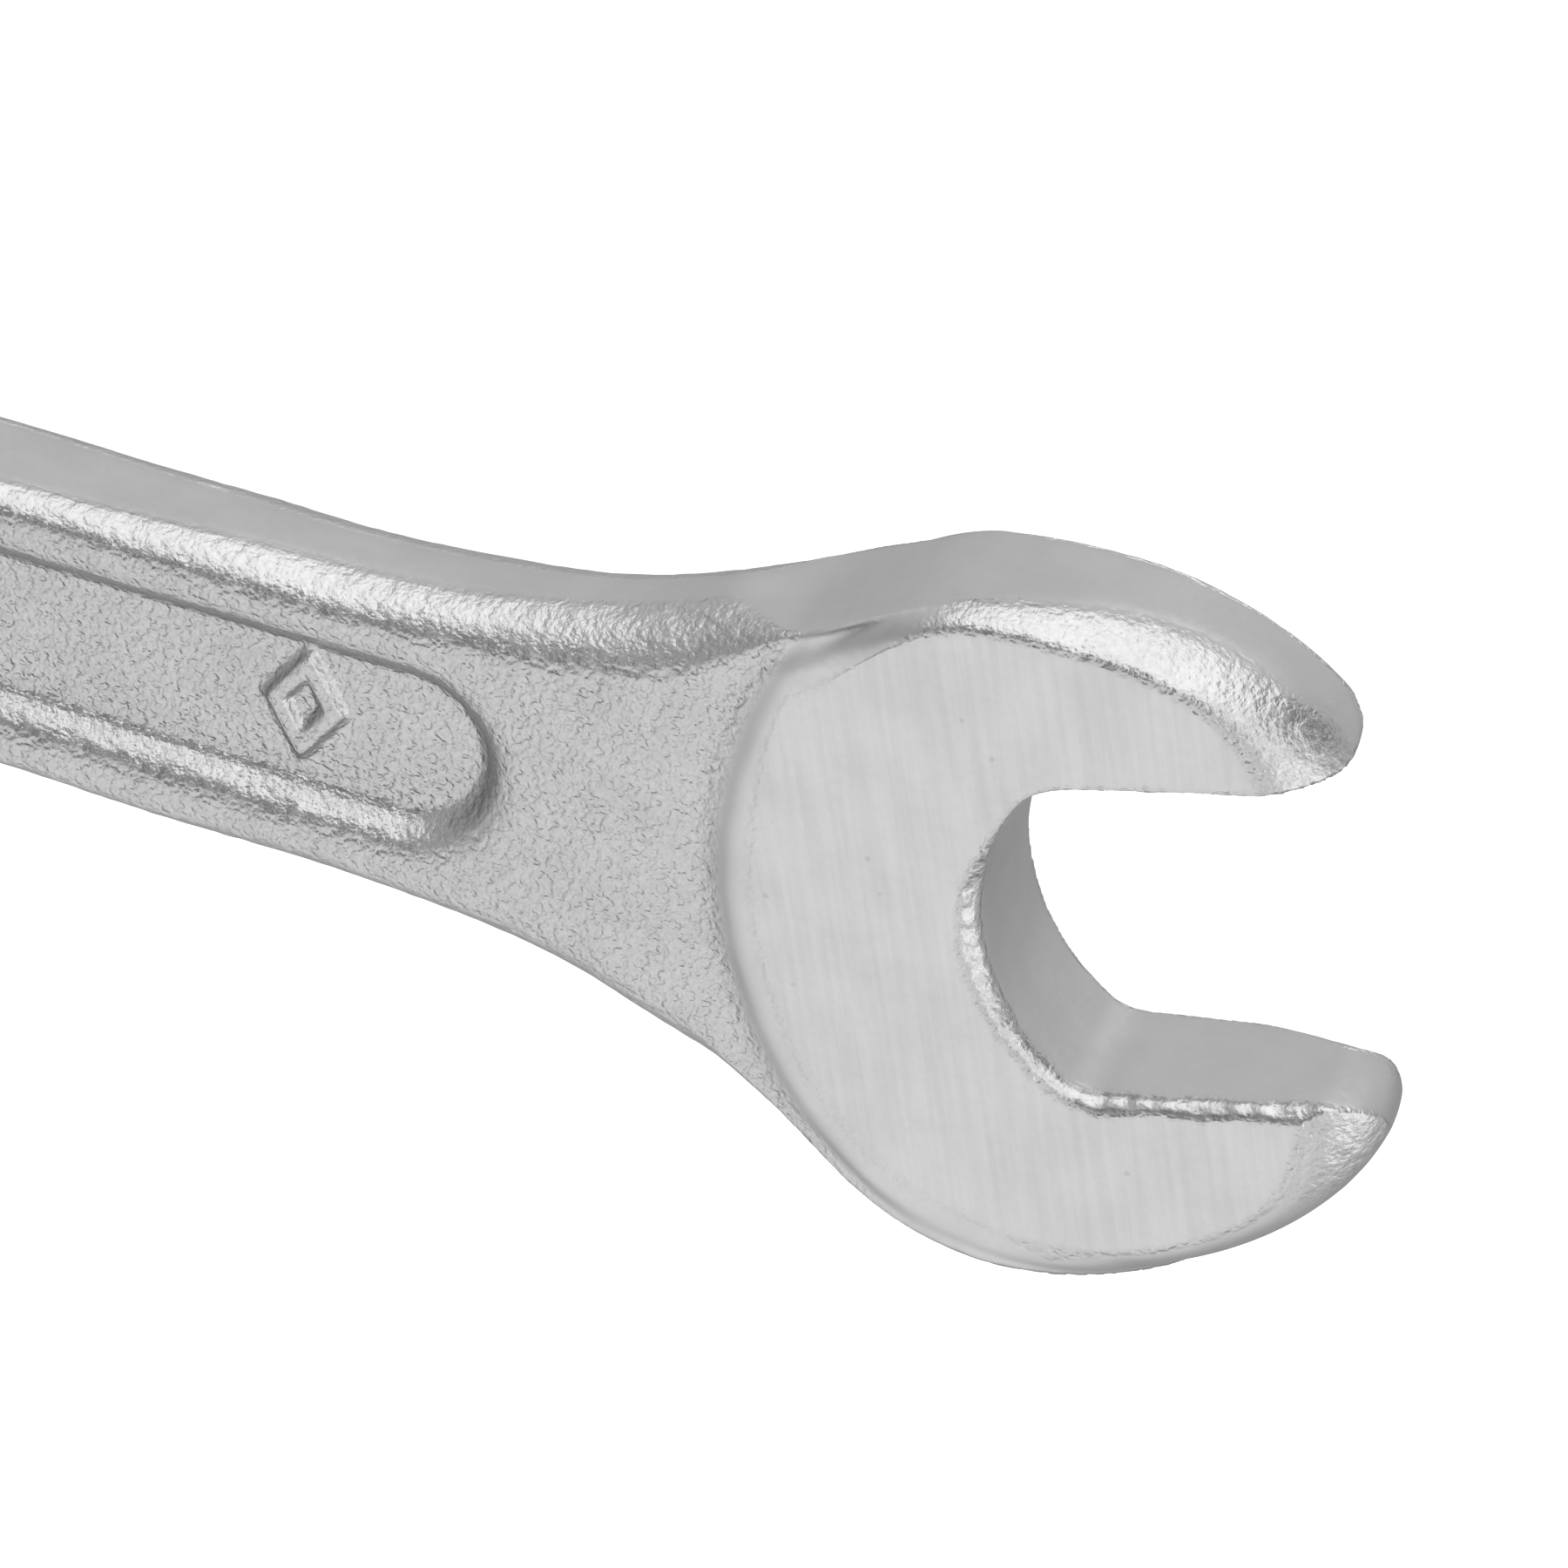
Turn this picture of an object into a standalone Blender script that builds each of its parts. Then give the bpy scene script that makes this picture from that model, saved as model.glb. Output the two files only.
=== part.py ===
"""Combination wrench, 13 mm: one drop forging with an open end and a tilted ring end.

The wrench lies flat. +X runs along the shank from the ring end to the open end, +Z is up, and the
origin is the centre of the bounding box's underside. The forging is built as three sections that
meet face to face: open_end, shank and box_end.

All the shapes are drawn around the centre of the open head, at half the forging's thickness, and
the root empty carries them to their place.
"""

import math

import bmesh
import bpy
from mathutils import Vector

MM = 0.001

# Driving dimensions.
JAW_OPENING = 13.05 * MM          # across the jaws, for a 13 mm hexagon
RING_ACROSS_FLATS = 13.1 * MM     # each hexagon of the twelve-point bore
HEAD_TO_RING = 147.0 * MM         # between the centres of the two heads
JAW_ANGLE = math.radians(15.0)    # the jaws' axis, turned from the shank
RING_TILT = math.radians(15.0)    # the ring's far side is lifted

# Open head, in the jaws' own axes: +x out of the mouth, +y to the upper jaw.
HEAD_RADIUS = 13.65 * MM
MOUTH_CENTRE_Y = 0.475 * MM
THROAT_X = -2.45 * MM             # bottom of the throat
THROAT_RADIUS = 8.5 * MM
THROAT_CORNER = 1.5 * MM
UPPER_NOSE = 1.1 * MM             # rounding of each jaw's tip
LOWER_NOSE = 1.8 * MM
HEAD_HALF_THICKNESS = 3.11 * MM   # at the head's centre
FACE_TAPER = 0.049                # lost from each face per unit of length towards the tips
FACE_EDGE_CENTRE = Vector((4.5, 0.5)) * MM
FACE_EDGE_RADIUS = 16.95 * MM     # the ground face ends on this arc at the neck
HEAD_SHOULDER = 0.75 * MM

# Shank and the necks that flare into both heads.
SHANK_HALF_THICKNESS = 2.86 * MM
SHANK_SHOULDER = 1.5 * MM
SHANK_HALF_WIDTH_OPEN = 6.25 * MM
SHANK_HALF_WIDTH_BOX = 5.4 * MM
UPPER_FLARE_X = -27.0 * MM        # where the upper edge begins to flare
UPPER_FLARE_RADIUS = 29.0 * MM
UPPER_CROWN_RADIUS = 24.0 * MM    # convex arc from the flare to the head's top
LOWER_FLARE_X = -25.0 * MM
LOWER_FLARE_RADIUS = 32.3 * MM
NECK_INSET = 0.2 * MM             # the neck's sides stand this far inside the head's outline
NECK_END_X = -6.0 * MM            # the neck ends inside the head
RING_NECK_LENGTH = 10.0 * MM
RING_NECK_RADIUS = 38.0 * MM
RING_NECK_END = 6.0 * MM          # from the ring's centre; the bore cuts it back to the wall

# Recessed panels, one on each face of the shank.
PANEL_DEPTH = 1.1 * MM            # its walls slope at 45 degrees
PANEL_OPEN_X = -25.2 * MM         # centre of the round end near the open head
PANEL_OPEN_RADIUS = 4.0 * MM
PANEL_BOX_RADIUS = 3.3 * MM
PANEL_BOX_FROM_RING = 26.0 * MM
MARK_X = -29.2 * MM               # raised lozenge on the panel's floor
MARK_Y = 0.4 * MM
MARK_HALF_LENGTH = 2.3 * MM
MARK_HALF_WIDTH = 1.5 * MM
MARK_HEIGHT = 0.45 * MM

# Ring end.
RING_RADIUS = 10.2 * MM
RING_HEIGHT = 8.6 * MM
RING_EDGE = 1.2 * MM
RING_CENTRE_Z = 2.8 * MM          # the ring's lower edge is level with the open head's underside
BORE_LEAD_IN = 0.6 * MM

# The sections meet at these two planes.
OPEN_SPLIT_X = -19.0 * MM
BOX_SPLIT_X = 16.0 * MM - HEAD_TO_RING

ARC_STEP = math.radians(6.0)
OVERSHOOT = 5.0 * MM              # how far a cutter runs past what it cuts


def move_to(collection, item):
    for owner in list(item.users_collection):
        owner.objects.unlink(item)
    collection.objects.link(item)


def new_collection(name):
    collection = bpy.data.collections.new(name)
    bpy.context.scene.collection.children.link(collection)
    return collection


def arc(centre, radius, start, end, step=ARC_STEP):
    """Points on a circle from the angle start to the angle end, both included."""
    steps = max(2, math.ceil(abs(end - start) / step))
    angles = [start + (end - start) * i / steps for i in range(steps + 1)]
    return [centre + radius * Vector((math.cos(a), math.sin(a))) for a in angles]


def bearing(point, centre):
    offset = point - centre
    return math.atan2(offset.y, offset.x)


def turn(points, angle):
    cos_a = math.cos(angle)
    sin_a = math.sin(angle)
    return [Vector((p.x * cos_a - p.y * sin_a, p.x * sin_a + p.y * cos_a)) for p in points]


def circles_meet(centre_a, radius_a, centre_b, radius_b, side):
    """Where two circles cross, to the left (side 1) or right (side -1) of the line from a to b."""
    between = centre_b - centre_a
    distance = between.length
    along = (distance**2 + radius_a**2 - radius_b**2) / (2.0 * distance)
    across = math.sqrt(radius_a**2 - along**2)
    normal = Vector((-between.y, between.x)) / distance
    return centre_a + between * (along / distance) + normal * (across * side)


def mesh_of(curve_object):
    """Replaces a curve object by a mesh object of the same name with its caps welded on."""
    depsgraph = bpy.context.evaluated_depsgraph_get()
    mesh = bpy.data.meshes.new_from_object(curve_object.evaluated_get(depsgraph))
    soup = bmesh.new()
    soup.from_mesh(mesh)
    bmesh.ops.remove_doubles(soup, verts=soup.verts, dist=0.001 * MM)
    bmesh.ops.recalc_face_normals(soup, faces=soup.faces)
    soup.to_mesh(mesh)
    soup.free()
    name = curve_object.name
    collection = curve_object.users_collection[0]
    placed = curve_object.matrix_world.copy()
    bpy.data.objects.remove(curve_object)
    solid = bpy.data.objects.new(name, mesh)
    collection.objects.link(solid)
    solid.matrix_world = placed
    return solid


def plate(name, outline, half_thickness, edge, edge_steps, collection):
    """A flat plate with rounded edges (edge_steps above 0) or chamfers (edge_steps 0)."""
    curve = bpy.data.curves.new(name, "CURVE")
    curve.dimensions = "2D"
    curve.fill_mode = "BOTH"
    curve.extrude = half_thickness - edge
    curve.bevel_depth = edge
    curve.bevel_resolution = edge_steps
    curve.offset = -edge
    spline = curve.splines.new("POLY")
    spline.points.add(len(outline) - 1)
    for point, place in zip(spline.points, outline):
        point.co = (place.x, place.y, 0.0, 1.0)
    spline.use_cyclic_u = True
    solid = bpy.data.objects.new(name, curve)
    collection.objects.link(solid)
    bpy.context.view_layer.update()
    return mesh_of(solid)


def block(name, low, high, collection):
    """A box between two corners."""
    soup = bmesh.new()
    bmesh.ops.create_cube(soup, size=1.0)
    size = Vector(high) - Vector(low)
    middle = (Vector(high) + Vector(low)) / 2.0
    for vert in soup.verts:
        vert.co = Vector(vert.co[i] * size[i] + middle[i] for i in range(3))
    mesh = bpy.data.meshes.new(name)
    soup.to_mesh(mesh)
    soup.free()
    solid = bpy.data.objects.new(name, mesh)
    collection.objects.link(solid)
    return solid


def boolean(target, operation, other):
    step = target.modifiers.new(other.name, "BOOLEAN")
    step.operation = operation
    step.object = other


def bevel(target, width, segments, angle):
    step = target.modifiers.new("edges", "BEVEL")
    step.width = width
    step.segments = segments
    step.limit_method = "ANGLE"
    step.angle_limit = angle


def head_outline():
    """The open head with its mouth, anticlockwise from the lower end of the neck edge."""
    centre = Vector((0.0, 0.0))
    crown_centre = turn([Vector((0.0, HEAD_RADIUS - UPPER_CROWN_RADIUS))], -JAW_ANGLE)[0]
    head_top = math.pi / 2.0 - JAW_ANGLE
    neck_low = circles_meet(centre, HEAD_RADIUS, FACE_EDGE_CENTRE, FACE_EDGE_RADIUS, -1)
    neck_high = circles_meet(
        crown_centre, UPPER_CROWN_RADIUS, FACE_EDGE_CENTRE, FACE_EDGE_RADIUS, 1
    )
    half = JAW_OPENING / 2.0

    points = []
    lower_jaw = MOUTH_CENTRE_Y - half
    nose_y = lower_jaw - LOWER_NOSE
    nose = Vector((math.sqrt((HEAD_RADIUS - LOWER_NOSE) ** 2 - nose_y**2), nose_y))
    nose_bearing = bearing(nose, centre)
    points += arc(centre, HEAD_RADIUS, bearing(neck_low, centre), nose_bearing)
    points += arc(nose, LOWER_NOSE, nose_bearing, math.pi / 2.0, math.radians(15.0))[1:]

    throat = Vector((THROAT_X + THROAT_RADIUS, MOUTH_CENTRE_Y))
    corner_rise = half - THROAT_CORNER
    corner_run = math.sqrt((THROAT_RADIUS - THROAT_CORNER) ** 2 - corner_rise**2)
    low_corner = throat + Vector((-corner_run, -corner_rise))
    high_corner = throat + Vector((-corner_run, corner_rise))
    low_bearing = bearing(low_corner, throat)
    high_bearing = bearing(high_corner, throat)
    points += arc(low_corner, THROAT_CORNER, -math.pi / 2.0, low_bearing, math.radians(12.0))
    points += arc(throat, THROAT_RADIUS, low_bearing + 2.0 * math.pi, high_bearing)[1:]
    points += arc(high_corner, THROAT_CORNER, high_bearing, math.pi / 2.0, math.radians(12.0))[1:]

    upper_jaw = MOUTH_CENTRE_Y + half
    nose_y = upper_jaw + UPPER_NOSE
    nose = Vector((math.sqrt((HEAD_RADIUS - UPPER_NOSE) ** 2 - nose_y**2), nose_y))
    nose_bearing = bearing(nose, centre)
    points += arc(nose, UPPER_NOSE, -math.pi / 2.0, nose_bearing, math.radians(15.0))
    points += arc(centre, HEAD_RADIUS, nose_bearing, head_top)[1:]
    points += arc(
        crown_centre, UPPER_CROWN_RADIUS, head_top, bearing(neck_high, crown_centre)
    )[1:]
    edge_low = bearing(neck_low, FACE_EDGE_CENTRE) + 2.0 * math.pi
    edge_high = bearing(neck_high, FACE_EDGE_CENTRE)
    points += arc(FACE_EDGE_CENTRE, FACE_EDGE_RADIUS, edge_high, edge_low)[1:-1]
    return turn(points, JAW_ANGLE)


def head_wedge(collection):
    """The space between the two ground faces, which close in towards the jaws' tips."""
    reach = 20.0 * MM
    wedge = block("head_wedge", (-reach, -reach, -reach), (reach, reach, reach), collection)
    for vert in wedge.data.vertices:
        side = math.copysign(1.0, vert.co.z)
        vert.co.z = side * (HEAD_HALF_THICKNESS - FACE_TAPER * vert.co.x)
    wedge.rotation_euler.z = JAW_ANGLE
    return wedge


def flare(start_x, half_width, flare_radius, head_centre_y, head_radius, end_x):
    """One edge of the neck, from the shank to end_x: a hollow arc, then the round of the head."""
    hollow = Vector((start_x, half_width + flare_radius))
    head = Vector((0.0, head_centre_y))
    towards_head = (head - hollow).normalized()
    join = hollow + towards_head * flare_radius
    points = arc(hollow, flare_radius, -math.pi / 2.0, bearing(join, hollow), math.radians(3.0))
    end = math.acos(end_x / head_radius)
    points += arc(head, head_radius, bearing(join, head), end)[1:]
    return points


def handle_outline():
    """Shank and both necks, anticlockwise from the ring's lower side."""
    head_radius = HEAD_RADIUS - NECK_INSET
    crown_radius = UPPER_CROWN_RADIUS - NECK_INSET
    crown_centre_y = HEAD_RADIUS - UPPER_CROWN_RADIUS
    upper = flare(
        UPPER_FLARE_X,
        SHANK_HALF_WIDTH_OPEN,
        UPPER_FLARE_RADIUS,
        crown_centre_y,
        crown_radius,
        NECK_END_X,
    )
    lower = flare(
        LOWER_FLARE_X, SHANK_HALF_WIDTH_OPEN, LOWER_FLARE_RADIUS, 0.0, head_radius, NECK_END_X
    )
    hollow = Vector(
        (RING_NECK_END + RING_NECK_LENGTH - HEAD_TO_RING, SHANK_HALF_WIDTH_BOX + RING_NECK_RADIUS)
    )
    sweep = math.asin(RING_NECK_LENGTH / RING_NECK_RADIUS)
    ring_side = arc(
        hollow, RING_NECK_RADIUS, -math.pi / 2.0 - sweep, -math.pi / 2.0, math.radians(5.0)
    )
    outline = [Vector((p.x, -p.y)) for p in ring_side + lower]
    outline += reversed(ring_side + upper)
    return outline


def panel_cutter(name, side, collection):
    """A long pocket with round ends and sloping walls, on the upper (1) or lower (-1) face."""
    open_centre = Vector((PANEL_OPEN_X, 0.0))
    box_centre = Vector((PANEL_BOX_FROM_RING - HEAD_TO_RING, 0.0))
    quarter = math.pi / 2.0
    wall = 1.5 * PANEL_DEPTH
    spread = wall - PANEL_DEPTH
    outline = arc(open_centre, PANEL_OPEN_RADIUS + spread, -quarter, quarter)
    outline += arc(box_centre, PANEL_BOX_RADIUS + spread, quarter, 3.0 * quarter)
    cutter = plate(name, outline, 2.0 * wall, wall, 0, collection)
    cutter.location.z = side * (SHANK_HALF_THICKNESS - PANEL_DEPTH + 2.0 * wall)
    return cutter


def size_mark(collection):
    """A raised lozenge that stands in for a size stamp."""
    sink = 0.2 * MM
    bpy.ops.mesh.primitive_cone_add(
        vertices=4, radius1=1.0, radius2=0.72, depth=MARK_HEIGHT + sink
    )
    mark = bpy.context.object
    mark.name = "size_mark"
    floor_z = SHANK_HALF_THICKNESS - PANEL_DEPTH
    mark.location = (MARK_X, MARK_Y, floor_z + (MARK_HEIGHT - sink) / 2.0)
    mark.scale = (MARK_HALF_WIDTH, MARK_HALF_LENGTH, 1.0)
    move_to(collection, mark)
    return mark


def bore_outline():
    """Two hexagons, 30 degrees apart, as one twelve-pointed star."""
    point_radius = RING_ACROSS_FLATS / 2.0 / math.cos(math.radians(30.0))
    notch_radius = RING_ACROSS_FLATS / 2.0 / math.cos(math.radians(15.0))
    outline = []
    for i in range(24):
        radius = point_radius if i % 2 == 0 else notch_radius
        angle = math.radians(15.0 * i)
        outline.append(Vector((radius * math.cos(angle), radius * math.sin(angle))))
    return outline


def lead_in(name, side, tilt_matrix, collection):
    """A cone that opens the bore's mouth on the ring's upper (1) or lower (-1) face."""
    wide = RING_ACROSS_FLATS / 2.0 / math.cos(math.radians(30.0)) + BORE_LEAD_IN
    height = 2.0 * wide
    soup = bmesh.new()
    bmesh.ops.create_cone(
        soup,
        cap_ends=True,
        segments=48,
        radius1=wide - height / 2.0 if side > 0 else wide + height / 2.0,
        radius2=wide + height / 2.0 if side > 0 else wide - height / 2.0,
        depth=height,
    )
    mesh = bpy.data.meshes.new(name)
    soup.to_mesh(mesh)
    soup.free()
    cone = bpy.data.objects.new(name, mesh)
    collection.objects.link(cone)
    cone.matrix_world = tilt_matrix
    cone.location += tilt_matrix.to_3x3() @ Vector((0.0, 0.0, side * RING_HEIGHT / 2.0))
    return cone


def ring_blank(collection):
    """The solid round of the ring end, tilted, with rounded rims."""
    bpy.ops.mesh.primitive_cylinder_add(vertices=72, radius=RING_RADIUS, depth=RING_HEIGHT)
    ring = bpy.context.object
    ring.name = "box_end"
    ring.location = (-HEAD_TO_RING, 0.0, RING_CENTRE_Z)
    ring.rotation_euler.y = RING_TILT
    move_to(collection, ring)
    bevel(ring, RING_EDGE, 3, math.radians(40.0))
    return ring


def handle_section(name, low_x, high_x, handle, cutters, collection):
    """The part of the handle between two planes across it."""
    section = bpy.data.objects.new(name, handle.data)
    collection.objects.link(section)
    reach = 20.0 * MM
    slab = block(f"{name}_slab", (low_x, -reach, -reach), (high_x, reach, reach), cutters)
    boolean(section, "INTERSECT", slab)
    return section


def steel(name, colour, roughness):
    material = bpy.data.materials.new(name)
    material.use_nodes = True
    shader = material.node_tree.nodes["Principled BSDF"]
    shader.inputs["Base Color"].default_value = (*colour, 1.0)
    shader.inputs["Metallic"].default_value = 1.0
    shader.inputs["Roughness"].default_value = roughness
    return material


def finish(node, material, root):
    node.data = node.data.copy()
    node.data.materials.clear()
    node.data.materials.append(material)
    node.data.shade_smooth()
    node.data.set_sharp_from_angle(angle=math.radians(25.0))
    node.parent = root


def centre_on_origin(root, nodes):
    """Moves the root so that the origin is the centre of the bounding box's underside."""
    bpy.context.view_layer.update()
    depsgraph = bpy.context.evaluated_depsgraph_get()
    corners = []
    for node in nodes:
        solid = node.evaluated_get(depsgraph)
        corners += [solid.matrix_world @ vert.co for vert in solid.data.vertices]
    low = Vector(min(c[i] for c in corners) for i in range(3))
    high = Vector(max(c[i] for c in corners) for i in range(3))
    root.location = -Vector(((low.x + high.x) / 2.0, (low.y + high.y) / 2.0, low.z))


def build():
    for existing in list(bpy.data.objects):
        bpy.data.objects.remove(existing)
    parts = new_collection("combination_wrench")
    cutters = new_collection("cutters")
    root = bpy.data.objects.new("wrench", None)
    parts.objects.link(root)

    handle = plate("handle", handle_outline(), SHANK_HALF_THICKNESS, SHANK_SHOULDER, 2, cutters)
    far = OVERSHOOT + HEAD_TO_RING
    neck = handle_section("open_neck", OPEN_SPLIT_X, far, handle, cutters, cutters)
    shank = handle_section("shank", BOX_SPLIT_X, OPEN_SPLIT_X, handle, cutters, parts)
    ring_neck = handle_section("ring_neck", -far, BOX_SPLIT_X, handle, cutters, cutters)
    for name, side in (("upper_panel", 1), ("lower_panel", -1)):
        boolean(shank, "DIFFERENCE", panel_cutter(name, side, cutters))
    boolean(shank, "UNION", size_mark(cutters))

    head_half = HEAD_HALF_THICKNESS + OVERSHOOT
    open_end = plate("open_end", head_outline(), head_half, 0.0, 0, parts)
    boolean(open_end, "INTERSECT", head_wedge(cutters))
    bevel(open_end, HEAD_SHOULDER, 3, math.radians(50.0))
    boolean(open_end, "UNION", neck)

    box_end = ring_blank(parts)
    boolean(box_end, "UNION", ring_neck)
    bpy.context.view_layer.update()
    bore = plate("bore", bore_outline(), RING_HEIGHT, 0.0, 0, cutters)
    bore.matrix_world = box_end.matrix_world
    boolean(box_end, "DIFFERENCE", bore)
    for name, side in (("upper_lead_in", 1), ("lower_lead_in", -1)):
        boolean(box_end, "DIFFERENCE", lead_in(name, side, box_end.matrix_world, cutters))

    finish(open_end, steel("ground_satin_chrome", (0.72, 0.72, 0.72), 0.28), root)
    finish(shank, steel("forged_satin_chrome", (0.66, 0.66, 0.66), 0.38), root)
    finish(box_end, steel("ring_satin_chrome", (0.70, 0.70, 0.70), 0.32), root)
    for cutter in cutters.objects:
        cutter.parent = root
        cutter.hide_render = True
        cutter.display_type = "WIRE"
    centre_on_origin(root, [open_end, shank, box_end])


build()
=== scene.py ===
"""Looks of the combination wrench: satin chrome over a drop forging with a ground open head.

The forging's surface is worked out as one field, negative inside the metal, from rounded outlines,
shoulders, panels and the tilted ring. A mesh is drawn on the field's zero surface, given the fine
unevenness of forged steel, and cut into sections at the planes where the CAD sections meet.
Lengths are in millimetres around the centre of the open head until the pieces are made.
"""

import math

import bmesh
import bpy
import numpy as np
from mathutils import Matrix, Vector


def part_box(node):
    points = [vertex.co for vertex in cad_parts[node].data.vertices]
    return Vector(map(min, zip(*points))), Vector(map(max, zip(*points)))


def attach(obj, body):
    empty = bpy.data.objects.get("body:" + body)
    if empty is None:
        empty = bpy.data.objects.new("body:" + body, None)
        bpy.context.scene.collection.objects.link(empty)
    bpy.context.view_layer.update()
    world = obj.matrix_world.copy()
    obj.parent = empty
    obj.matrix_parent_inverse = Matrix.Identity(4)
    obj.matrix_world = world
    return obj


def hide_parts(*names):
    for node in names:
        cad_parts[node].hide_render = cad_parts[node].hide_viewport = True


MM = 0.001

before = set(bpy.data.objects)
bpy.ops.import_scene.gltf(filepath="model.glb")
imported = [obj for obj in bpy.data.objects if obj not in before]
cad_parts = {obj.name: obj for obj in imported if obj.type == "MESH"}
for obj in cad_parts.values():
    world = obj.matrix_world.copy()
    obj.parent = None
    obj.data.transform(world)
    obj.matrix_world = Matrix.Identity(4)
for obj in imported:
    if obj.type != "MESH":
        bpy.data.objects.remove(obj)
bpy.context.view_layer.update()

# Places, from the CAD nodes' boxes.
open_low, open_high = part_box("open_end")
_, ring_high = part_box("box_end")
OPEN_SPLIT = -19.0                # from the head's centre to the plane where open_end meets shank
BOX_SPLIT = 16.0                  # from the ring's centre to the plane where shank meets box_end
HEAD_CENTRE = np.array([
    open_low[0] / MM - OPEN_SPLIT,
    (open_low[1] + open_high[1]) / 2.0 / MM,
    (open_low[2] + open_high[2]) / 2.0 / MM,
])
RING_X = ring_high[0] / MM - BOX_SPLIT - HEAD_CENTRE[0]
SHANK_SPLIT = -45.0               # the shank is shown as two pieces, and the front one is finer

# Open head, in the jaws' own axes: +x out of the mouth, +y to the upper jaw.
JAW_ANGLE = math.radians(15.0)
HEAD_RADIUS = (open_high[1] - open_low[1]) / 2.0 / MM
TIP_X = 12.05
TIP_BULGE = (0.4, 0.10)           # height where the tips reach furthest, and their curve
TIP_ROUND = 1.6
LOWER_TIP = 0.2                   # how much further the lower tip reaches
MOUTH_Y = 0.475
MOUTH_HALF = 13.05 / 2.0
THROAT_X = 6.15                   # centre of the throat's round bottom
THROAT_RADIUS = 8.75
FACE_HALF = 3.11                  # half thickness between the ground faces, at the centre
FACE_TAPER = 0.049
BOSS_CENTRE = (5.9, 0.5)          # the ground face ends on this circle at the neck
BOSS_RADIUS = 16.95
BOSS_WALL = 1.05                  # the face's edge meets the neck this far outside the circle
BOSS_CORNER = 2.2                 # rounds the circle into the long edges
UPPER_SLOPE = 50.0                # degrees that the band round the head falls away at
LOWER_SLOPE = 30.0
BOSS_SLOPE = 20.0
UPPER_INSET = (0.40, 0.72)        # width of the upper band at the neck, and how much it grows
LOWER_INSET = 1.45
BOSS_INSET = 0.95
NOSE_SLOPE = math.radians(27.0)
NOSE_INSET = 2.9
FACE_ROUND = 0.42                 # rounds the ground face's edge
UNDER_EDGES = (0.5, 1.2)          # round of the underside's edge, along the sides and at the tips
UNDER_LIFT = 0.02
MOUTH_SLOPE = math.radians(46.0)
MOUTH_THROAT = 0.66               # width of the mouth's bevel, in the throat and on the two jaws
MOUTH_LOWER = 0.56
MOUTH_UPPER = 0.12
MOUTH_CORNERS = (0.9, 0.6)        # upper and lower corner of the throat
NOSE_CORNERS = (0.9, 3.6)         # how far the upper and the lower nose are rounded in plan

# Shank and necks.
SHANK_HALF = 2.86
REAR_SHOULDER = (1.3, 0.85)       # how far the shoulder falls, and how wide it is
FRONT_SHOULDER = (2.35, 1.25)
NECK_SHOULDER = 0.45              # how much the neck adds to both
HEAD_SHOULDER = 0.18              # what is left of both where the neck meets the head
SHOULDER_START = math.radians(14.0)
NECK_RISE = 0.14
NECK_REACH = 3.0                  # how far the neck goes on inside the head
NECK_DIP = 1.5
HALF_WIDTH_OPEN = 6.25
HALF_WIDTH_BOX = 5.4
UPPER_FLARE = (-27.0, 29.0)       # where the edge begins to flare, and the flare's radius
LOWER_FLARE = (-25.0, 32.3)
CROWN_RADIUS = 24.0
# How the photographed edges differ from plain arcs: from x, to x, how much fuller they get between.
UPPER_FORM = (
    (-38.0, -32.0, 0.12), (-30.0, -23.0, 0.28), (-21.0, -17.0, -0.08),
    (-14.4, -10.8, -1.06), (-10.6, -5.0, 0.74),
)
LOWER_FORM = (
    (-44.0, -33.0, 0.42), (-29.0, -17.0, 0.50), (-18.0, -14.0, 0.20),
    (-13.5, -8.5, -0.60), (-8.5, -4.0, 0.28),
)
RING_FLARE_X = RING_X + BOX_SPLIT
RING_FLARE_RADIUS = 38.0

# Panels and the raised lozenge that stands in for a size stamp.
PANEL_OPEN = (-25.2, 4.0)         # centre and radius of the round end near the open head
PANEL_BOX = (RING_X + 26.0, 3.3)
PANEL_DEPTH = 1.15
PANEL_SLOPE = math.radians(50.0)
MARK_CENTRE = (-29.2, 0.4)
MARK_HALF = (1.7, 2.6)
MARK_STROKE = 0.42                # half the width of its raised rim
MARK_HEIGHT = 0.45

# Ring end.
RING_TILT = math.radians(15.0)
RING_Z = 2.8
RING_RADIUS = 10.2
RING_HALF = 4.3
RING_ROUND = 1.35
NECK_END = 5.0                    # from the ring's centre, inside the bore
BORE_HALF_FLATS = 6.55
BORE_LEAD_IN = 0.6

HEAD_ZONE = -30.0                 # the mouth is worked out only past this place


# ---------------------------------------------------------------- the field

def smooth_max(a, b, k):
    """The larger of two fields, with a round of about 0.85 k where they cross."""
    h = np.clip(1.0 - np.abs(a - b) / k, 0.0, 1.0)
    return np.maximum(a, b) + h * h * k * 0.25


def smooth_min(a, b, k):
    return -smooth_max(-a, -b, k)


def ramp(x, start, end):
    """0 before start, 1 after end, smooth between."""
    t = np.clip((x - start) / (end - start), 0.0, 1.0)
    return t * t * (3.0 - 2.0 * t)


def to_jaw(x, y):
    cos_a = math.cos(JAW_ANGLE)
    sin_a = math.sin(JAW_ANGLE)
    return x * cos_a + y * sin_a, y * cos_a - x * sin_a


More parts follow.
